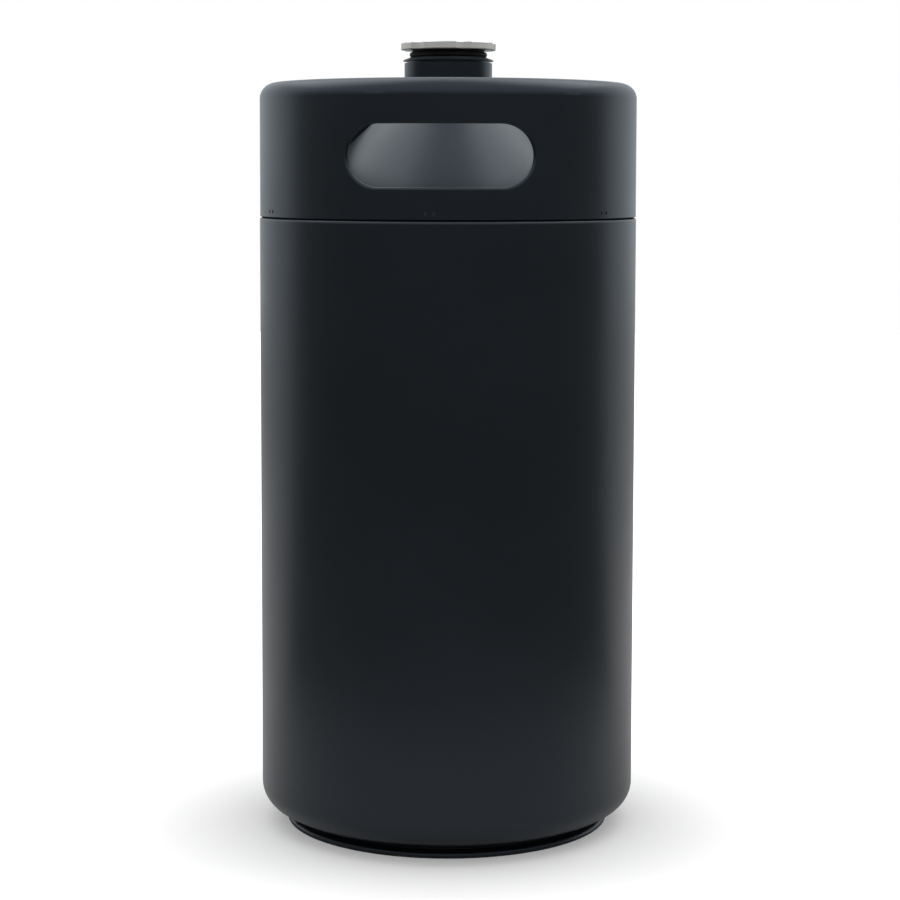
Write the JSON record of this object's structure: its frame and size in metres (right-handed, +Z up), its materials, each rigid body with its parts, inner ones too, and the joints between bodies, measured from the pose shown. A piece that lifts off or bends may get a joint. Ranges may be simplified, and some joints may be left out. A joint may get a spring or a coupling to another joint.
{
  "type": "mini keg",
  "caption": "Double-walled mini keg: matt black body on a recessed foot, welded handle collar with hand holes, domed shoulder and a scalloped screw-in lid.",
  "frame": {"origin": "centre of the foot's resting plane, on the keg's axis", "axes": "+Z up along the keg's axis; the front hand hole faces -Y, the back one faces +Y"},
  "size_m": [0.1606, 0.1606, 0.3338],
  "materials": {
    "powder_coat": "matt powder coat",
    "lid_steel": "satin turned",
    "vessel_steel": "drawn, electropolished",
    "copper_foil": "rolled foil",
    "getter_alloy": "sintered",
    "solder_glass": "fused",
    "gasket_rubber": "moulded",
    "ring_rubber": "moulded"
  },
  "bodies": {
    "keg": {"outer_body": "powder_coat", "foot_ring": "powder_coat", "outer_base": "powder_coat", "vacuum_seal": "solder_glass", "port_cap": "powder_coat", "outer_shoulder": "powder_coat", "neck_sleeve": "powder_coat", "neck_weld": "powder_coat", "neck_bush": "powder_coat", "inner_shoulder": "vessel_steel", "inner_body": "vessel_steel", "inner_base": "vessel_steel", "radiation_foil": "copper_foil", "getter_cup": "vessel_steel", "getter_pellet": "getter_alloy", "handle_collar": "powder_coat", "collar_spot_welds": "powder_coat"},
    "lid_seal": {"lid_gasket": "gasket_rubber"},
    "lid": {"lid_plug": "lid_steel", "plug_o_ring": "ring_rubber"}
  },
  "joints": [
    {"name": "lid_rise", "type": "slide", "parent": "keg", "child": "lid_seal", "axis": [0, 0, 1], "range_m": [0, 0.0225]},
    {"name": "lid_turn", "type": "hinge", "parent": "lid_seal", "child": "lid", "pos_m": [0, 0, 0.3278], "axis": [0, 0, 1], "range_deg": [0, 2710]}
  ],
  "couplings": [
    {"joint": "lid_turn", "follows": "lid_rise", "rad_per_m": 2094.4}
  ]
}
